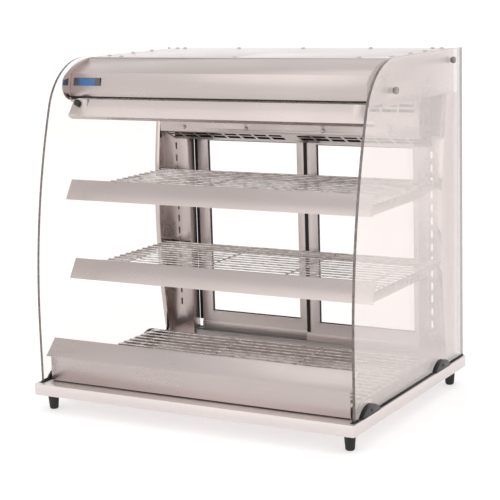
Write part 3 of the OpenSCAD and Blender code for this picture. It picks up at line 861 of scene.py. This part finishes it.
@dataclass
class Hood:
    """The sheet-metal hood: cheeks, nose, top, floor and seals, with a plain badge."""

    body: str = "case"
    broken_edge: float = 0.5 * MM
    badge_size: tuple[float, float] = (72 * MM, 18 * MM)
    badge_thick: float = 1.2 * MM
    badge_inset: float = 45 * MM
    badge_setback: float = 3.2 * MM
    badge_drop: float = 48 * MM
    # The nose's band goes 8.5 mm out over a rise of 39.5 mm
    band_lean: float = math.atan2(8.5, 39.5)

    def badge(self) -> None:
        """A plain enamelled badge without any lettering, on the nose's upright band."""
        low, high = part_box("hood_front")
        wide, tall = self.badge_size
        place = (low.x + self.badge_inset, low.y + self.badge_setback, high.z - self.badge_drop)
        for name, scale, finish, lift in (
            ("badge_plate", 1.0, BADGE_GREY, 0.0),
            ("badge_centre", 0.62, BADGE_BLUE, 0.35 * MM),
        ):
            plate = slab(
                name,
                (-wide * scale / 2, -self.badge_thick / 2, -tall / 2),
                (wide * scale / 2, self.badge_thick / 2, tall / 2),
            )
            bevel(plate, 0.5 * MM, 3)
            plate.data.transform(Matrix.Translation((0, -lift, 0)))
            plate.rotation_euler = (-self.band_lean, 0, 0)
            plate.location = place
            fit(settle(plate, name), self.body, finish)

    def build(self) -> None:
        """Dresses the hood and adds the badge."""
        dress(("hood_front", "top_cover", "hood_floor", "duct_front"), SHEET, self.broken_edge)
        dress(("hood_cheek_left",), CHEEK_SHEET, 0.3 * MM)
        dress(("hood_cheek_right",), SHEET_ALONG, 0.3 * MM)
        dress(("rear_panel",), SHEET, 0.4 * MM)
        dress(("front_seals",), RUBBER)
        dress(("sheet_screws",), BOLT)
        self.badge()


@dataclass
class Uprights:
    """The mirror-faced columns and the slotted posts behind them."""

    def build(self) -> None:
        """Dresses the uprights."""
        dress(("column_left", "column_right"), MIRROR_SHEET, 0.5 * MM)
        dress(("rear_post_left", "rear_post_right"), SHEET_UPRIGHT, 0.3 * MM)


@dataclass
class Lamp:
    """The display lamp behind its hinged valance."""

    body: str = "case"
    cap_length: float = 14 * MM
    knob_radius: float = 7.2 * MM
    knob_height: float = 6 * MM
    knob_inset: float = 26 * MM
    knob_drop: float = 9 * MM
    tab_setback: float = 4.6 * MM
    # The valance's face goes 3 mm back over a rise of 19.6 mm
    tab_lean: float = math.atan2(3.0, 19.6)

    def caps(self) -> None:
        """Crimped aluminium caps over both ends of the tube."""
        low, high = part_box("lamp_tube")
        y, z = (low.y + high.y) / 2, (low.z + high.z) / 2
        radius = (high.z - low.z) / 2 + 0.25 * MM
        for word, x, outward in (("left", low.x, 1), ("right", high.x, -1)):
            cap = rod(
                f"lamp_cap_{word}",
                (x + outward * self.cap_length / 2, y, z),
                Axis.RIGHT,
                radius,
                self.cap_length - 0.4 * MM,
            )
            select_faces(cap, (outward, 0, 0))
            bpy.ops.mesh.inset(thickness=0.7 * MM)
            bpy.ops.mesh.extrude_region_move(TRANSFORM_OT_translate={"value": (outward * 0.8 * MM, 0, 0)})
            bpy.ops.object.mode_set(mode="OBJECT")
            bevel(cap, 0.4 * MM, 2)
            fit(cap, self.body, ALUMINIUM)

    def knob(self) -> None:
        """A black knob on the left tab of the valance, to pull it open by."""
        low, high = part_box("lamp_cover")
        cap = rod("cover_knob", (0, 0, self.knob_height / 2), Axis.UP, self.knob_radius, self.knob_height)
        select_faces(cap, (0, 0, 1))
        bpy.ops.mesh.inset(thickness=1.6 * MM)
        bpy.ops.mesh.extrude_region_move(TRANSFORM_OT_translate={"value": (0, 0, 1.2 * MM)})
        bpy.ops.object.mode_set(mode="OBJECT")
        bevel(cap, 1.0 * MM, 4)
        cap.rotation_euler = (math.pi / 2 - self.tab_lean, 0, 0)
        cap.location = (low.x + self.knob_inset, low.y + self.tab_setback, high.z - self.knob_drop)
        fit(settle(cap, "cover_knob"), "lamp_cover", BLACK_NYLON)

    def build(self) -> None:
        """Dresses the lamp and its cover."""
        dress(("lamp_cover",), SHEET, 0.4 * MM)
        dress(("cover_pins",), BOLT, 0.3 * MM)
        dress(("lamp_tube",), OPAL)
        dress(("lampholders",), BLACK_NYLON, 0.6 * MM)
        self.caps()
        self.knob()


@dataclass
class WarmAir:
    """Blower, heater and the slotted outlet."""

    def build(self) -> None:
        """Dresses the warm-air unit."""
        dress(("air_grille",), GRILLE_SHEET)
        dress(("blower_motor",), DARK_CASTING, 0.8 * MM)
        dress(("blower_wheel",), ALUMINIUM)
        dress(("heater_element",), HEATER)
        dress(("terminal_block",), CREAM, 0.6 * MM)


@dataclass
class Controls:
    """Switches, dial, pilot lamp and cable gland on the back."""

    body: str = "case"
    ticks: int = 11
    sweep: float = 270.0
    dial_radius: float = 26 * MM
    dial_thick: float = 0.6 * MM
    tick_inset: float = 3.4 * MM
    lens_height: float = 3 * MM
    # The rockers turn about this line and stand tilted by half their travel
    pivot_y: float = 289.4 * MM
    rocker_tilt: float = 9.0
    # Both marks stand on the rocker's face, as seen from its pivot
    bar_low: Point = (-6.4 * MM, 7.72 * MM, -2.6 * MM)
    bar_high: Point = (-5.4 * MM, 8.0 * MM, 2.6 * MM)
    ring_place: Point = (5.9 * MM, 7.75 * MM, 0.0)
    ring_radius: float = 2.2 * MM
    ring_wire: float = 0.35 * MM

    def dial(self) -> None:
        """A thin dial plate with raised ticks round the knob."""
        low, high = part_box("thermostat_knob")
        face_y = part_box("pilot_lamp")[1].y - self.lens_height
        x, z = (low.x + high.x) / 2, (low.z + high.z) / 2
        middle = (x, face_y + 0.35 * MM, z)
        plate = rod("dial_plate", middle, Axis.BACK, self.dial_radius, self.dial_thick, 96)
        bevel(plate, 0.2 * MM, 2)
        fit(plate, self.body, ALUMINIUM)
        marks = []
        for i in range(self.ticks):
            angle = math.radians(self.sweep * (i / (self.ticks - 1) - 0.5))
            reach = self.dial_radius - self.tick_inset
            mark = slab("tick", (-0.45 * MM, 0, -1.6 * MM), (0.45 * MM, 0.3 * MM, 1.6 * MM))
            mark.rotation_euler = (0, angle, 0)
            mark.location = (x + reach * math.sin(angle), face_y + 0.6 * MM, z + reach * math.cos(angle))
            marks.append(settle(mark, "tick"))
        fit(joined(marks, "dial_ticks"), self.body, BLACK_NYLON)

    def rocker_marks(self, body: str) -> None:
        """The bar and the ring that show on and off on one rocker.

        Args:
            body: The rocker's node, which is also its body.
        """
        low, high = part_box(body)
        z = (low.z + high.z) / 2
        tilt = math.radians(self.rocker_tilt)
        pivot = Vector(((low.x + high.x) / 2, self.pivot_y, z))
        bar = slab("bar", self.bar_low, self.bar_high)
        deselect()
        bpy.ops.mesh.primitive_torus_add(
            location=self.ring_place,
            rotation=Axis.BACK.value,
            major_radius=self.ring_radius,
            minor_radius=self.ring_wire,
            major_segments=40,
            minor_segments=8,
        )
        ring = settle(bpy.context.object, "ring")
        mark = joined([bar, ring], f"{body}_marks")
        mark.data.transform(Matrix.Translation(pivot) @ Matrix.Rotation(tilt, 4, "Z"))
        fit(mark, body, WHITE_MARK)

    def build(self) -> None:
        """Dresses the controls and adds their marks."""
        dress(("power_switch", "lamp_switch"), BLACK_NYLON, 0.6 * MM)
        dress(("power_rocker", "lamp_rocker"), ROCKER, 0.5 * MM)
        dress(("thermostat",), CREAM, 0.5 * MM)
        dress(("thermostat_knob",), BLACK_NYLON, 0.4 * MM)
        dress(("pilot_lamp",), AMBER, 1.0 * MM)
        dress(("cable_gland",), BLACK_NYLON, 0.5 * MM)
        self.dial()
        for body in ("power_rocker", "lamp_rocker"):
            self.rocker_marks(body)


@dataclass
class Shelves:
    """The two hanging shelves, the heated deck and the loose wire racks."""

    broken_edge: float = 0.5 * MM

    def build(self) -> None:
        """Dresses the shelves, the deck and the racks."""
        dress(("upper_shelf", "middle_shelf", "deck_front", "deck_frame"), SHEET, self.broken_edge)
        dress(("upper_rack", "middle_rack", "deck_rack"), WIRE)


@dataclass
class Doors:
    """The two sliding doors with their seals and tracks."""

    gasket: float = 1.6 * MM
    proud: float = 0.8 * MM
    reveal: float = 6 * MM
    gap: float = 0.02 * MM

    def gaskets(self, body: str) -> None:
        """Thin black glazing gaskets round both faces of one door's pane.

        Args:
            body: The door's node, which is also its body.
        """
        low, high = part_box(body + "_glass")
        x0, x1 = low.x + self.reveal, high.x - self.reveal
        z0, z1 = low.z + self.reveal, high.z - self.reveal
        for face, y in (("front", low.y - self.gap), ("rear", high.y + self.gap)):
            outward = -1 if face == "front" else 1
            middle = ((x0 + x1) / 2, y, (z0 + z1) / 2)
            deselect()
            bpy.ops.mesh.primitive_plane_add(size=1.0, rotation=(math.pi / 2, 0, 0), location=middle)
            ring = bpy.context.object
            ring.scale = (x1 - x0, z1 - z0, 1)
            settle(ring, f"{body}_gasket_{face}")
            bpy.ops.object.mode_set(mode="EDIT")
            bpy.ops.mesh.select_all(action="SELECT")
            bpy.ops.mesh.inset(thickness=self.gasket)
            bpy.ops.mesh.delete(type="FACE")
            bpy.ops.object.mode_set(mode="OBJECT")
            wall = ring.modifiers.new("thick", "SOLIDIFY")
            wall.thickness, wall.offset = self.proud, 0.0
            apply_modifiers(ring)
            ring.data.transform(Matrix.Translation((0, outward * (self.proud / 2 + self.gap), 0)))
            take(ring)
            bpy.ops.object.mode_set(mode="EDIT")
            bpy.ops.mesh.select_all(action="SELECT")
            bpy.ops.mesh.normals_make_consistent(inside=False)
            bpy.ops.object.mode_set(mode="OBJECT")
            bevel(ring, 0.3 * MM, 2)
            fit(ring, body, RUBBER)

    def build(self) -> None:
        """Dresses the doors and tracks and adds the gaskets."""
        dress(("door_left", "door_right"), FRAME_SHEET, 0.6 * MM)
        dress(("door_left_glass", "door_right_glass"), DOOR_PANE)
        dress(("door_left_seal", "door_right_seal"), RUBBER)
        dress(("bottom_track", "top_track"), ALUMINIUM)
        for body in ("door_left", "door_right"):
            self.gaskets(body)


@dataclass
class Studio:
    """A pale floor, soft lights and the camera."""

    floor_half: float = 90.0
    camera_place: Point = (1.665, -2.9454, 0.9709)
    yaw: float = 29.53
    pitch: float = 10.72
    roll: float = -1.68
    lens: float = 109.0
    shift: tuple[float, float] = (0.001, 0.0114)

    def floor(self) -> None:
        """A large pale floor, faintly bright so that no shadow on it is heavy."""
        deselect()
        bpy.ops.mesh.primitive_plane_add(size=2 * self.floor_half)
        piece = bpy.context.object
        piece.name = "studio_floor"
        paint(piece, PAPER)

    def sky(self) -> None:
        """A white surround, brightest just over the horizon and behind the case."""
        world = bpy.data.worlds.new("studio_surround")
        bpy.context.scene.world = world
        world.use_nodes = True
        tree = world.node_tree
        tree.nodes.clear()
        way = add_node(tree, "ShaderNodeTexCoord").outputs["Generated"]
        split = add_node(tree, "ShaderNodeSeparateXYZ", {"Vector": way})
        ramp = add_node(tree, "ShaderNodeValToRGB", {"Fac": split.outputs["Z"]})
        set_ramp(ramp, [(0.0, grey(0.86)), (0.22, grey(0.98)), (0.5, grey(0.75)), (0.95, grey(0.73))])
        behind = add_node(
            tree,
            "ShaderNodeMapRange",
            {"Value": split.outputs["Y"], "From Min": 0.2, "From Max": 0.5, "To Min": 1.2, "To Max": 1.4},
        )
        back = add_node(
            tree, "ShaderNodeBackground", {"Color": ramp.outputs[0], "Strength": behind.outputs[0]}
        )
        out = add_node(tree, "ShaderNodeOutputWorld")
        tree.links.new(back.outputs[0], out.inputs["Surface"])

    def lamp(self, name: str, place: Point, target: Point, size: float, power: float) -> None:
        """A square soft box.

        Args:
            name: The lamp's name.
            place: Where it hangs, in metres.
            target: The point that it faces.
            size: Its side in metres.
            power: Its power in watts.
        """
        data = bpy.data.lights.new(name, "AREA")
        data.size, data.energy = size, power
        light = bpy.data.objects.new(name, data)
        bpy.context.collection.objects.link(light)
        light.location = place
        light.rotation_euler = (Vector(target) - Vector(place)).to_track_quat("-Z", "Y").to_euler()

    def camera(self) -> None:
        """The camera, level with a buyer's view from the front right."""
        yaw, pitch, roll = (math.radians(a) for a in (self.yaw, self.pitch, self.roll))
        right = Vector((math.cos(yaw), math.sin(yaw), 0))
        ahead = Vector((-math.sin(yaw) * math.cos(pitch), math.cos(yaw) * math.cos(pitch), -math.sin(pitch)))
        up = right.cross(ahead)
        tilted_right = right * math.cos(roll) + up * math.sin(roll)
        tilted_up = up * math.cos(roll) - right * math.sin(roll)
        data = bpy.data.cameras.new("camera")
        data.sensor_width, data.lens = 36.0, self.lens
        data.shift_x, data.shift_y = self.shift
        data.clip_start, data.clip_end = 0.05, 400.0
        camera = bpy.data.objects.new("camera", data)
        bpy.context.collection.objects.link(camera)
        turn = Matrix((tilted_right, tilted_up, -ahead)).transposed()
        camera.matrix_world = Matrix.Translation(self.camera_place) @ turn.to_4x4()
        bpy.context.scene.camera = camera

    def build(self) -> None:
        """Sets up floor, surround, lights and camera."""
        self.floor()
        self.sky()
        middle = (0, 0, 0.4)
        self.lamp("soft_front", place=(-1.6, -4.8, 2.4), target=middle, size=3.6, power=22.0)
        self.lamp("soft_top", place=(0.2, -0.4, 3.6), target=middle, size=3.0, power=14.0)
        self.camera()
        bpy.context.scene.view_settings.view_transform = "Standard"


def main() -> None:
    """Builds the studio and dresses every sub-assembly."""
    logging.basicConfig(level=logging.INFO, format="%(name)s: %(message)s")
    Studio().build()
    parts = (Base, SideGlass, Hood, Uprights, Lamp, WarmAir, Controls, Shelves, Doors)
    for assembly in (part() for part in parts):
        assembly.build()
        log.info("finished %s", type(assembly).__name__)


if __name__ == "__main__":
    main()
